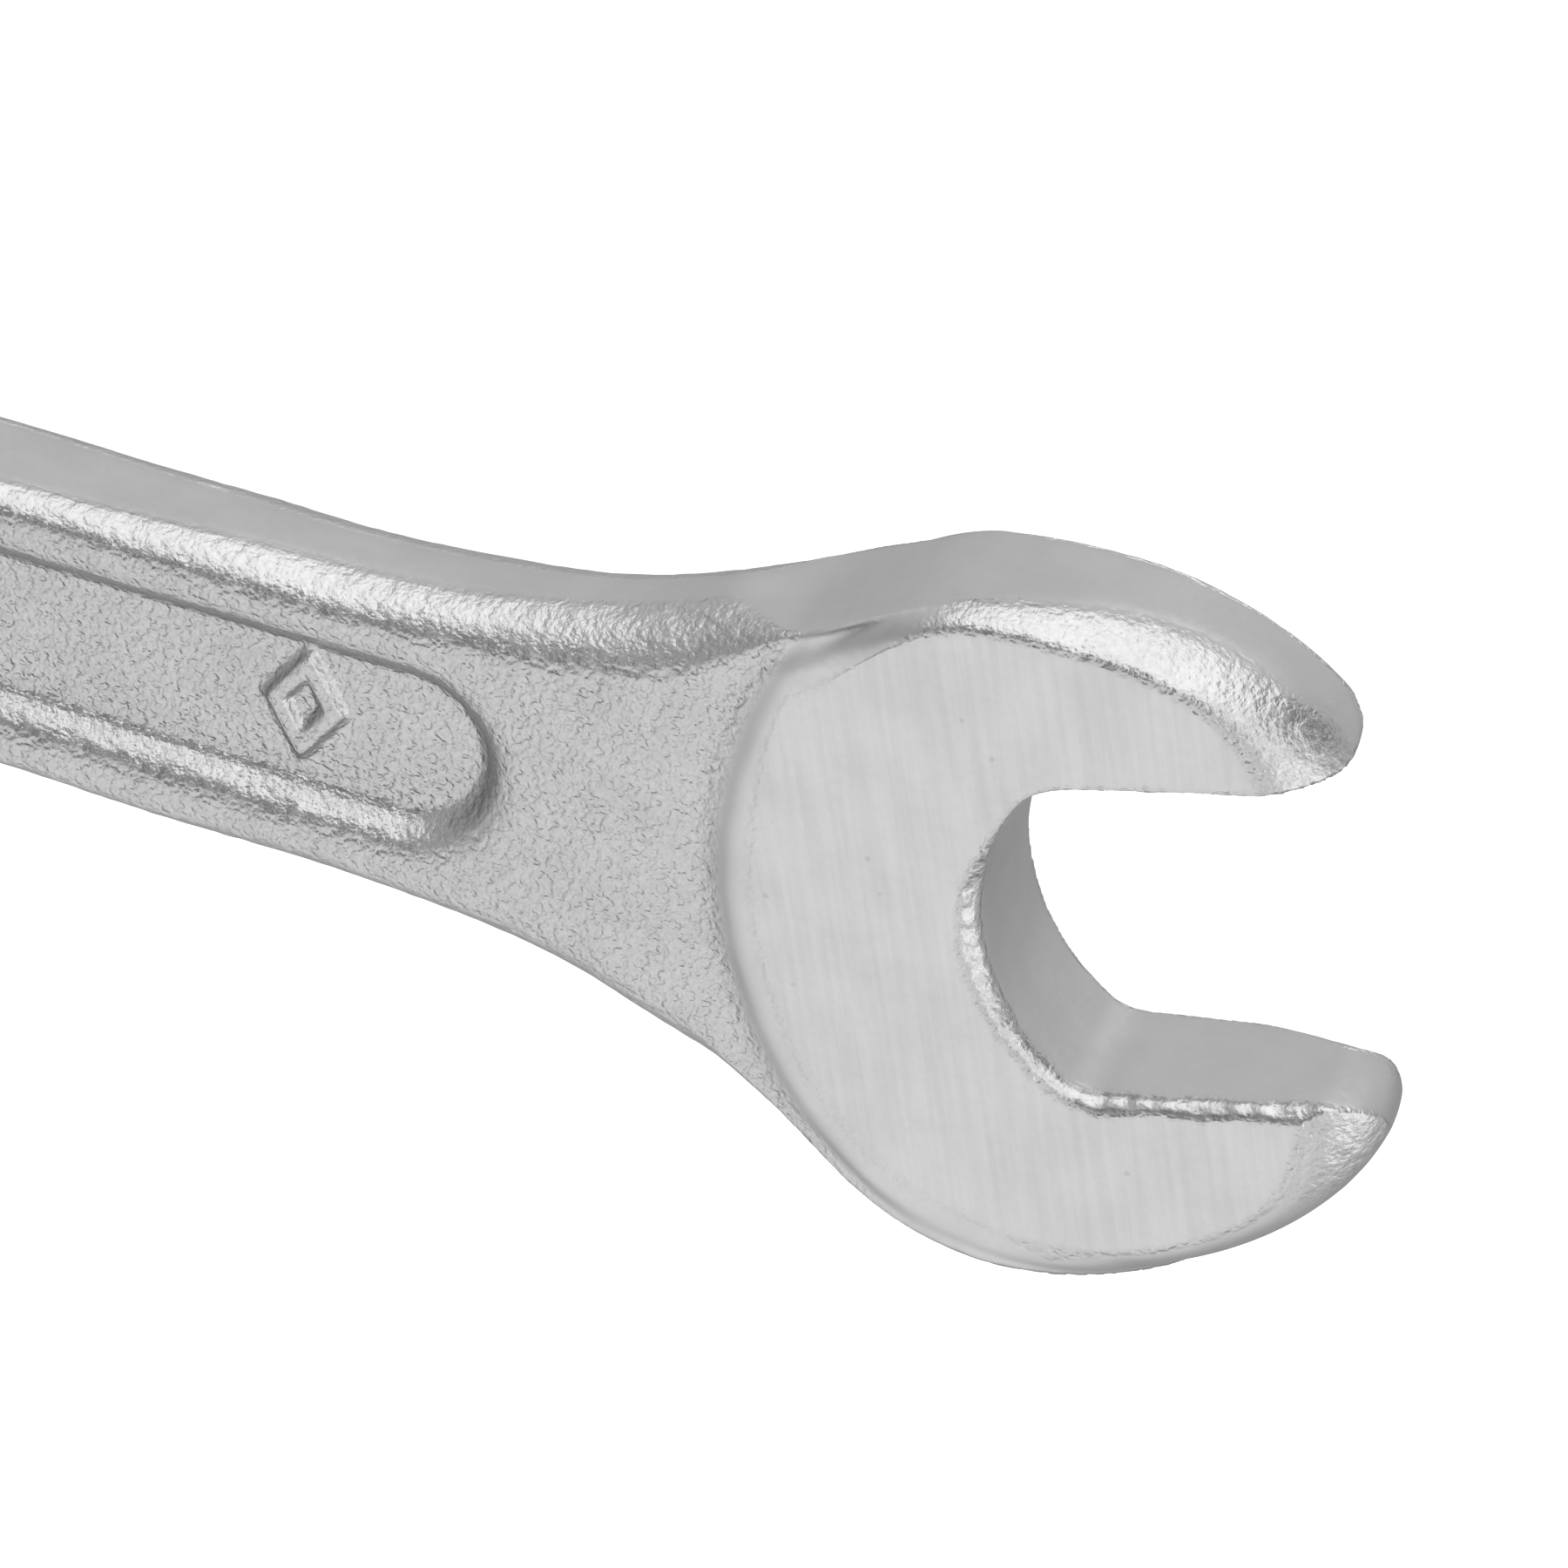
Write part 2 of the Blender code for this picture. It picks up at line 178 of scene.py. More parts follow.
def edge_distance(x, y, flare, round_y, round_radius):
    """Distance outside one long edge of the forging, drawn as an upper edge (y above 0)."""
    flare_x, flare_radius = flare
    slope = (HALF_WIDTH_OPEN - HALF_WIDTH_BOX) / (flare_x - RING_FLARE_X)
    straight = y - HALF_WIDTH_BOX - slope * (np.maximum(x, RING_FLARE_X) - RING_FLARE_X)
    ring_flare = RING_FLARE_RADIUS - np.hypot(
        x - RING_FLARE_X, y - HALF_WIDTH_BOX - RING_FLARE_RADIUS
    )
    hollow_y = HALF_WIDTH_OPEN + flare_radius
    hollow = flare_radius - np.hypot(x - flare_x, y - hollow_y)
    crown = np.hypot(x, y - round_y) - round_radius
    head = np.hypot(x, y) - HEAD_RADIUS
    beyond_join = (x - flare_x) * (hollow_y - round_y) + (y - hollow_y) * -flare_x
    result = np.where(x < RING_FLARE_X, ring_flare, straight)
    result = np.where(x > flare_x, hollow, result)
    result = np.where((x > flare_x) & (beyond_join > 0.0), crown, result)
    return np.where(x > 0.0, head, result)


def outline_distance(x, y):
    """Distance outside the forging's long edges, without its tips and its mouth."""
    fuller = sum(size * ramp(x, start, end) for start, end, size in UPPER_FORM)
    upper = edge_distance(x, y - fuller, UPPER_FLARE, HEAD_RADIUS - CROWN_RADIUS, CROWN_RADIUS)
    fuller = sum(size * ramp(x, start, end) for start, end, size in LOWER_FORM)
    lower = edge_distance(x, -y - fuller, LOWER_FLARE, 0.0, HEAD_RADIUS)
    return np.where(y > 0.0, upper, lower)


def mouth_distance(jaw_x, jaw_y):
    """Distance outside the mouth's outline; negative in the mouth."""
    across = np.abs(jaw_y - MOUTH_Y)
    slot = across - MOUTH_HALF
    throat = np.hypot(np.minimum(jaw_x - THROAT_X, 0.0), across) - THROAT_RADIUS
    return smooth_max(slot, throat, np.where(jaw_y > MOUTH_Y, *MOUTH_CORNERS))


def shouldered(outside, height, width, drop, top):
    """A slab of half thickness top whose edge is rounded over width by drop."""
    u = np.maximum((outside + width) / width, 0.0)
    v = np.maximum((height - (top - drop)) / drop, 0.0)
    reach = np.hypot(u, v)
    slope = np.hypot(u / width, v / drop)
    scale = np.where(reach > 1e-4, reach / np.maximum(slope, 1e-9), np.minimum(width, drop))
    return (reach - 1.0) * scale


def eased(outside, height, inset, fall, top, start):
    """A slab whose edge leaves the flat top at the angle start, inset from the wall."""
    drop = fall / np.cos(start)
    width = inset / (1.0 - np.sin(start))
    return shouldered(outside, height, width, drop, top + drop - fall)


def chamfered(outside, height, inset, top, slope, rounding=1.1):
    """A slab whose edge is cut off at an angle, inset from the wall, and rounded into the wall."""
    cut = (outside + inset) * np.sin(slope) + (height - top) * np.cos(slope)
    return smooth_max(cut, outside, rounding * inset)


def wander(x, y, length, seed):
    """A slow wave between -1 and 1 along a worked edge."""
    phase = np.random.default_rng(seed).uniform(0.0, 2.0 * math.pi, 6)
    turn = 2.0 * math.pi / length
    return (
        np.sin(turn * x + phase[0]) * np.sin(0.83 * turn * y + phase[1])
        + 0.6 * np.sin(1.9 * turn * (x + y) + phase[2]) * np.sin(1.7 * turn * (x - y) + phase[3])
        + 0.4 * np.sin(3.7 * turn * y + phase[4]) * np.sin(3.1 * turn * x + phase[5])
    ) / 1.6


def blend(a, b, share):
    return a + (b - a) * share


def base_field(x, height, outside, boss):
    """Shank and necks: rounded shoulders that grow towards the neck and end at the head."""
    away = ramp(boss, 1.2, 4.2)
    rear_drop, rear_width = REAR_SHOULDER
    front_drop, front_width = FRONT_SHOULDER
    drop = blend(rear_drop, front_drop, ramp(x, -46.0, -27.0))
    drop = drop + NECK_SHOULDER * ramp(x, -25.0, -17.0)
    width = blend(rear_width, front_width, ramp(x, -44.0, -27.0))
    width = width + NECK_SHOULDER * ramp(x, -26.0, -17.0)
    drop = blend(HEAD_SHOULDER, drop, away)
    width = blend(HEAD_SHOULDER, width, away)
    top = SHANK_HALF + NECK_RISE * ramp(x, -22.0, -16.0) - NECK_DIP * ramp(-boss, -1.0, 2.0)
    return np.maximum(
        eased(outside, height, width, drop, top, SHOULDER_START), -NECK_REACH - boss
    )


def boss_field(z, outside, tip, boss, jaw_x, jaw_y, face):
    """The open head without its mouth: ground faces, and a band that falls away around them.

    The second value is the band carried on under the head, which the neck stays inside there.
    """
    at_neck = ramp(boss, -2.5, 0.0)
    low_side = ramp(-jaw_y, 2.0, 8.0)
    inset = UPPER_INSET[0] + UPPER_INSET[1] * ramp(jaw_x, -5.0, 7.0)
    inset = blend(blend(inset, LOWER_INSET, low_side), BOSS_INSET, at_neck)
    slope = blend(blend(UPPER_SLOPE, LOWER_SLOPE, low_side), BOSS_SLOPE, at_neck)
    slope = np.radians(slope)
    edge = smooth_max(boss - BOSS_WALL, outside, BOSS_CORNER)
    above = chamfered(edge, z, inset, face, slope)
    nose = chamfered(tip, z, NOSE_INSET, face, NOSE_SLOPE)
    above = smooth_max(above, nose, 1.5)
    above = smooth_max(above, z - face, FACE_ROUND)
    side_round, tip_round = UNDER_EDGES
    below = shouldered(edge, -z, side_round, side_round, face + UNDER_LIFT)
    below = np.maximum(below, shouldered(tip, -z, tip_round, tip_round, face + UNDER_LIFT))
    coat = chamfered(outside, z, inset, face, slope) - 3.0 * ramp(boss, -1.2, 0.3)
    return smooth_max(np.maximum(above, below), np.abs(z) - face, 0.12), coat


def handle_field(x, y, z):
    """The open head without its mouth, the necks and the shank with its panels."""
    height = np.abs(z)
    long_edges = outline_distance(x, y)
    jaw_x, jaw_y = to_jaw(x, y)
    tip = jaw_x - TIP_X - LOWER_TIP * ramp(-jaw_y, 0.0, 5.0) + TIP_BULGE[1] * (z - TIP_BULGE[0]) ** 2
    outside = smooth_max(long_edges, tip, TIP_ROUND)
    boss = np.hypot(jaw_x - BOSS_CENTRE[0], jaw_y - BOSS_CENTRE[1]) - BOSS_RADIUS
    boss = boss + 0.05 * wander(x, y, 9.0, 3)
    face = FACE_HALF - FACE_TAPER * jaw_x
    head, coat = boss_field(z, long_edges, tip, boss, jaw_x, jaw_y, face)
    neck = np.maximum(base_field(x, height, long_edges, boss), coat)
    fillet = (0.7 + 0.6 * ramp(-outside, 0.1, 1.5)) * ramp(boss, -2.8, -1.2)
    solid = smooth_min(neck, head, 0.01 + fillet)
    solid = np.maximum(solid, outside)

    open_x, open_radius = PANEL_OPEN
    box_x, box_radius = PANEL_BOX
    along = np.clip((open_x - x) / (open_x - box_x), 0.0, 1.0)
    centre_x = open_x + (box_x - open_x) * along
    rim = np.hypot(x - centre_x, y) - (open_radius + (box_radius - open_radius) * along)
    floor = SHANK_HALF - PANEL_DEPTH
    wall = rim * math.sin(PANEL_SLOPE) + (SHANK_HALF - height) * math.cos(PANEL_SLOPE)
    panel = smooth_max(wall, floor - height, 0.3)
    solid = smooth_max(solid, -panel, 0.6)

    run = np.sqrt((x - MARK_CENTRE[0]) ** 2 + 0.01)
    rise = np.sqrt((y - MARK_CENTRE[1]) ** 2 + 0.01)
    edge = (run * MARK_HALF[1] + rise * MARK_HALF[0] - MARK_HALF[0] * MARK_HALF[1]) / math.hypot(
        *MARK_HALF
    )
    stroke = np.abs(edge + MARK_STROKE) - MARK_STROKE
    mark = smooth_max(stroke + (z - floor) * 0.35, z - floor - MARK_HEIGHT, 0.22)
    mark = np.maximum(mark, -z)
    return smooth_min(solid, mark, 0.35), outside, jaw_x, jaw_y, face


def cut_mouth(solid, outside, jaw_x, jaw_y, face, z):
    """Takes the mouth out, with the irregular bevel that runs round its throat and lower side."""
    mouth = mouth_distance(jaw_x, jaw_y)
    nose = np.where(jaw_y > MOUTH_Y, *NOSE_CORNERS)
    plan = smooth_max(outside, -mouth, 0.08 + (nose - 0.08) * ramp(jaw_x, 7.0, 10.0))
    inset = blend(MOUTH_THROAT, MOUTH_LOWER, ramp(jaw_y, -1.0, -5.0))
    inset = blend(inset, MOUTH_UPPER, ramp(jaw_y, 2.0, 6.0))
    inset = inset * (1.0 + 0.18 * wander(jaw_x, jaw_y, 3.4, 5))
    bevel = chamfered(-mouth, z, inset, face, MOUTH_SLOPE, 0.4)
    edge = 0.25 + 1.6 * ramp(jaw_x, 5.0, 11.0)
    under = shouldered(-mouth, -z, edge, edge, face)
    solid = smooth_max(np.maximum(solid, plan), bevel, 0.02 + 0.2 * ramp(jaw_y, 4.0, 1.0))
    return np.maximum(solid, under)


def ring_field(x, y, z):
    """The tilted ring and its bore: distance outside the ring, and distance outside the bore."""
    cos_t = math.cos(RING_TILT)
    sin_t = math.sin(RING_TILT)
    run = x - RING_X
    rise = z - RING_Z
    local_x = run * cos_t - rise * sin_t
    local_z = np.abs(run * sin_t + rise * cos_t)
    out = np.hypot(local_x, y)
    over = np.maximum(out - RING_RADIUS + RING_ROUND, 0.0)
    above = np.maximum(local_z - RING_HALF + RING_ROUND, 0.0)
    inner = np.maximum(out - RING_RADIUS + RING_ROUND, local_z - RING_HALF + RING_ROUND)
    ring = np.hypot(over, above) + np.minimum(inner, 0.0) - RING_ROUND
    bore = None
    for first in (0.0, 30.0):
        hexagon = None
        for step in range(3):
            angle = math.radians(first + 60.0 * step)
            flat = np.abs(local_x * math.cos(angle) + y * math.sin(angle)) - BORE_HALF_FLATS
            hexagon = flat if hexagon is None else smooth_max(hexagon, flat, 0.45)
        bore = hexagon if bore is None else smooth_min(bore, hexagon, 0.12)
    wide = BORE_HALF_FLATS / math.cos(math.radians(30.0)) + BORE_LEAD_IN
    lead_in = (out - wide + RING_HALF - local_z) * math.sqrt(0.5)
    return ring, smooth_min(bore, lead_in, 0.15)


def forging_field(x, y, z):
    """Negative inside the metal. Takes arrays that broadcast together, in millimetres."""
    solid, outside, jaw_x, jaw_y, face = handle_field(x, y, z)
    if np.max(x) > HEAD_ZONE:
        solid = cut_mouth(solid, outside, jaw_x, jaw_y, face, z)
    if np.min(x) < RING_FLARE_X + 8.0:
        ring, bore = ring_field(x, y, z)
        solid = smooth_max(solid, RING_X + NECK_END - x, 1.0)
        solid = smooth_min(solid, ring, 1.3 + 2.2 * ramp(z, -1.0, 1.5))
        solid = smooth_max(solid, -bore, 0.25)
    return solid


# ---------------------------------------------------------------- the mesh

FAR = 1e3                         # past either end of the wrench
STEP = 0.15                       # the grid's spacing
RING_STEP = 0.19
REAR_STEP = 0.26
SLAB = 24                         # how many of the grid's planes are worked out at once
LONGEST_MOVE = 0.08               # how far settling moves a point at once


def stations(start, end, step):
    return np.linspace(start, end, max(2, round((end - start) / step) + 1))[:-1]


def grid_axes():
    """Where the grid's planes lie: closer together where the surface has more detail."""
    x_axis = np.concatenate([
        stations(RING_X - 11.0, RING_FLARE_X, RING_STEP),
        stations(RING_FLARE_X, SHANK_SPLIT, REAR_STEP),
        stations(SHANK_SPLIT, 13.6, STEP),
        [13.6],
    ])
    y_axis = np.arange(-15.3, 14.6, STEP) + 0.031
    z_axis = np.arange(-4.35, 9.6, STEP) + 0.017
    return x_axis, y_axis, z_axis


def zone(x_low, x_high):
    """How far the metal can reach in y and z between two places along the wrench."""
    if x_high < RING_FLARE_X + 3.0:
        return 10.6, -4.1, 9.6
    if x_low < HEAD_ZONE:
        return 7.8, -3.3, 3.4
    return 15.2, -4.35, 4.3


def draw_surface():
    """Surface nets on the field: one vertex in each cell the surface crosses, joined by quads."""
    x_axis, y_axis, z_axis = grid_axes()
    count_y = len(y_axis)
    count_z = len(z_axis)
    cell_keys = []
    cell_points = []
    quads = []
    corners = [(i, j, k) for i in (0, 1) for j in (0, 1) for k in (0, 1)]
    edges = [(a, b) for a in range(8) for b in range(a + 1, 8) if bin(a ^ b).count("1") == 1]
    for start in range(0, len(x_axis) - 1, SLAB):
        stop = min(start + SLAB, len(x_axis) - 1)
        half_y, z_low, z_high = zone(x_axis[start], x_axis[stop])
        rows = np.nonzero(np.abs(y_axis) < half_y + STEP)[0]
        layers = np.nonzero((z_axis > z_low - STEP) & (z_axis < z_high + STEP))[0]
        xs = x_axis[start:stop + 1]
        ys = y_axis[rows]
        zs = z_axis[layers]
        values = forging_field(xs[:, None, None], ys[None, :, None], zs[None, None, :])
        inside = values < 0.0
        shape = tuple(n - 1 for n in values.shape)
        corner_inside = [
            inside[i:i + shape[0], j:j + shape[1], k:k + shape[2]] for i, j, k in corners
        ]
        total = sum(c.astype(np.int8) for c in corner_inside)
        cell_i, cell_j, cell_k = np.nonzero((total > 0) & (total < 8))
        corner_value = [values[cell_i + i, cell_j + j, cell_k + k] for i, j, k in corners]
        spot = np.zeros((len(cell_i), 3))
        weight = np.zeros(len(cell_i))
        for a, b in edges:
            crosses = (corner_value[a] < 0.0) != (corner_value[b] < 0.0)
            gap = corner_value[a] - corner_value[b]
            share = np.where(crosses, corner_value[a] / np.where(crosses, gap, 1.0), 0.0)
            for axis in range(3):
                begin = corners[a][axis]
                spot[:, axis] += crosses * (begin + share * (corners[b][axis] - begin))
            weight += crosses
        spot /= weight[:, None]
        base = np.stack([xs[cell_i], ys[cell_j], zs[cell_k]], axis=1)
        size = np.stack(
            [xs[cell_i + 1] - xs[cell_i], np.full(len(cell_i), STEP), np.full(len(cell_i), STEP)],
            axis=1,
        )
        cell_points.append(base + spot * size)
        cell_keys.append(
            ((cell_i + start) * count_y + cell_j + rows[0]) * count_z + cell_k + layers[0]
        )
        for axis in range(3):
            ahead = [slice(None)] * 3
            behind = [slice(None)] * 3
            ahead[axis] = slice(1, None)
            behind[axis] = slice(None, -1)
            first = inside[tuple(behind)]
            last = inside[tuple(ahead)]
            node = np.stack(np.nonzero(first != last), axis=1)
            leaves = first[tuple(node.T)]
            if axis != 0:
                kept = node[:, 0] < stop - start
                node = node[kept]
                leaves = leaves[kept]
            node = node + np.array([start, rows[0], layers[0]])
            b = (axis + 1) % 3
            c = (axis + 2) % 3
            ring = []
            for back_b, back_c in ((1, 1), (0, 1), (0, 0), (1, 0)):
                cell = node.copy()
                cell[:, b] -= back_b
                cell[:, c] -= back_c
                ring.append((cell[:, 0] * count_y + cell[:, 1]) * count_z + cell[:, 2])
            ring = np.stack(ring, axis=1)
            ring[~leaves] = ring[~leaves][:, ::-1]
            quads.append(ring)
    keys = np.concatenate(cell_keys)
    points = np.concatenate(cell_points)
    order = np.argsort(keys)
    keys = keys[order]
    points = points[order]
    faces = np.searchsorted(keys, np.concatenate(quads))
    return points, faces


def in_blocks(points, work):
    """Runs work on points in stretches along x, so that each end uses its own part of the field."""
    result = None
    edges = [-FAR, RING_FLARE_X + 6.0, HEAD_ZONE, FAR]
    for low, high in zip(edges[:-1], edges[1:]):
        chosen = (points[:, 0] >= low) & (points[:, 0] < high)
        values = work(*points[chosen].T)
        if result is None:
            result = np.zeros((len(points),) + values.shape[1:])
        result[chosen] = values
    return result


def gradient(x, y, z):
    reach = 0.012
    return np.stack([
        forging_field(x + reach, y, z) - forging_field(x - reach, y, z),
        forging_field(x, y + reach, z) - forging_field(x, y - reach, z),
        forging_field(x, y, z + reach) - forging_field(x, y, z - reach),
    ], axis=1) / (2.0 * reach)


def settle(points):
    """Moves the points onto the field's zero surface."""
    for _ in range(3):
        value = in_blocks(points, forging_field)
        slope = in_blocks(points, gradient)
        steep = np.maximum((slope ** 2).sum(axis=1), 0.25)
        move = -(value / steep)[:, None] * slope
        longest = np.maximum(np.linalg.norm(move, axis=1, keepdims=True), 1e-9)
        points = points + move * np.minimum(1.0, LONGEST_MOVE / longest)
    return points


def even_out(points, faces):
    """Evens the spacing of the points along the surface, and settles them again."""
    for _ in range(2):
        normals = vertex_normals(points, faces)
        centres = points[faces].mean(axis=1)
        uses = np.bincount(faces.ravel(), minlength=len(points))
        goal = np.zeros_like(points)
        for axis in range(3):
            goal[:, axis] = np.bincount(
                faces.ravel(), weights=np.repeat(centres[:, axis], 4), minlength=len(points)
            )
        move = goal / uses[:, None] - points
        move -= normals * (move * normals).sum(axis=1, keepdims=True)
        points = settle(points + 0.7 * move)
    return points


def vertex_normals(points, faces):
    across = np.cross(
        points[faces[:, 2]] - points[faces[:, 0]], points[faces[:, 3]] - points[faces[:, 1]]
    )
    normals = np.zeros_like(points)
    for corner in range(4):
        for axis in range(3):
            normals[:, axis] += np.bincount(
                faces[:, corner], weights=across[:, axis], minlength=len(points)
            )
    return normals / np.maximum(np.linalg.norm(normals, axis=1, keepdims=True), 1e-12)


def softened(normals, faces):
    """Each point's normal averaged with its neighbours', for the smooth walls."""
    across = normals[faces].sum(axis=1)
    result = np.zeros_like(normals)
    for axis in range(3):
        result[:, axis] = np.bincount(
            faces.ravel(), weights=np.repeat(across[:, axis], 4), minlength=len(normals)
        )
    return result / np.maximum(np.linalg.norm(result, axis=1, keepdims=True), 1e-12)


def lumps(points, size, seed):
    """Smooth random bumps about size millimetres across, between -1 and 1."""
    cells = 32
    table = np.random.default_rng(seed).uniform(-1.0, 1.0, (cells, cells, cells))
    scaled = points / size
    base = np.floor(scaled).astype(int)
    part = scaled - base
    part = part * part * (3.0 - 2.0 * part)
    total = np.zeros(len(points))
    for i in (0, 1):
        for j in (0, 1):
            for k in (0, 1):
                weight = (
                    np.abs(1 - i - part[:, 0])
                    * np.abs(1 - j - part[:, 1])
                    * np.abs(1 - k - part[:, 2])
                )
                total += weight * table[
                    (base[:, 0] + i) % cells, (base[:, 1] + j) % cells, (base[:, 2] + k) % cells
                ]
    return total


def surface_marks(points, normals):
    """How much of each finish a point has: ground face, smooth wall, rough shoulder, ring.

    The head's set-back line and its lower band are as smooth as the walls.
    """
    x, y, z = points.T
    jaw_x, jaw_y = to_jaw(x, y)
    face = FACE_HALF - FACE_TAPER * jaw_x
    upright = np.abs(normals[:, 2])
    boss = np.hypot(jaw_x - BOSS_CENTRE[0], jaw_y - BOSS_CENTRE[1]) - BOSS_RADIUS
    ground = ramp(np.abs(z) - face, -0.08, -0.04) * ramp(upright, 0.975, 0.99) * (boss < 0.8)
    wall = ramp(upright, 0.24, 0.10) * (x > RING_X + 8.0)
    line = ramp(boss, -1.7, -0.9) * ramp(boss, 1.8, 1.1)
    low_band = ramp(-jaw_y, 4.0, 8.0) * ramp(boss, 1.5, 0.7) * ramp(-upright, -0.98, -0.94)
    low_band = low_band * ramp(jaw_x, 9.5, 7.0)
    bands = np.maximum(line, low_band) * (1.0 - ground)
    wall = np.maximum(wall, bands)
    ring = 1.0 - ramp(x, RING_X + 9.0, RING_X + 13.0)
    rough = ramp(upright, 0.97, 0.85) * ramp(upright, 0.12, 0.24) * (1.0 - ring) * (1.0 - bands)
    return ground, wall, rough, ring


def forged_unevenness(points, ground, wall, rough, ring):
    """Height of the surface's unevenness: orange peel, coarser on the shoulders."""
    peel = 0.010 * lumps(points, 0.62, 11) + 0.007 * lumps(points, 0.36, 12)
    slow = 0.020 * lumps(points, 3.1, 13)
    coarse = 0.011 * lumps(points, 0.45, 14) + 0.012 * lumps(points, 1.2, 15)
    forged = (1.0 - ground) * (1.0 - 0.9 * wall) * (1.0 - 0.9 * ring)
    return forged * (peel + slow + coarse * rough) + wall * 0.006 * lumps(points, 1.6, 16)


# ---------------------------------------------------------------- materials

METAL = 0.58                      # how bright the chrome is
ROUGHNESS = 0.30
FINE_SIZE = 0.16                  # sizes of the noises, in millimetres
GRAIN_SIZE = 0.34
DENT_SIZE = 0.30
BROAD_SIZE = 2.6
PIT_SPACING = 1.1
BRUSH_STRETCH = 26.0              # how much longer the ground face's lines are than wide
PEEL_HEIGHT = 0.075               # heights of the bumps, in millimetres
DIMPLE_HEIGHT = 0.038
COARSE_HEIGHT = 0.030
LINE_HEIGHT = 0.003
SKIN_HEIGHT = 0.0015
PIT_DEPTH = 0.010


def math_node(tree, operation, a, b):
    made = tree.nodes.new("ShaderNodeMath")
    made.operation = operation
    for socket, value in zip(made.inputs, (a, b)):
        if isinstance(value, (int, float)):
            socket.default_value = value
        else:
            tree.links.new(value, socket)
    return made.outputs[0]


def noise(tree, place, size, detail, roughness=0.5):
    """A noise between 0 and 1 whose blobs are about size millimetres."""
    made = tree.nodes.new("ShaderNodeTexNoise")
    made.inputs["Scale"].default_value = 1.0 / (size * MM)
    made.inputs["Detail"].default_value = detail
    made.inputs["Roughness"].default_value = roughness
    tree.links.new(place, made.inputs["Vector"])
    return made.outputs["Fac"]


def spread(tree, value, from_low, from_high, to_low, to_high):
    """Carries a value from one range over to another, smoothly, and stops at both ends."""
    made = tree.nodes.new("ShaderNodeMapRange")
    made.interpolation_type = "SMOOTHSTEP"
    for name, number in zip(
        ("From Min", "From Max", "To Min", "To Max"), (from_low, from_high, to_low, to_high)
    ):
        made.inputs[name].default_value = number
    tree.links.new(value, made.inputs["Value"])
    return made.outputs["Result"]


def mask(tree, name):
    made = tree.nodes.new("ShaderNodeAttribute")
    made.attribute_name = name
    return made.outputs["Fac"]


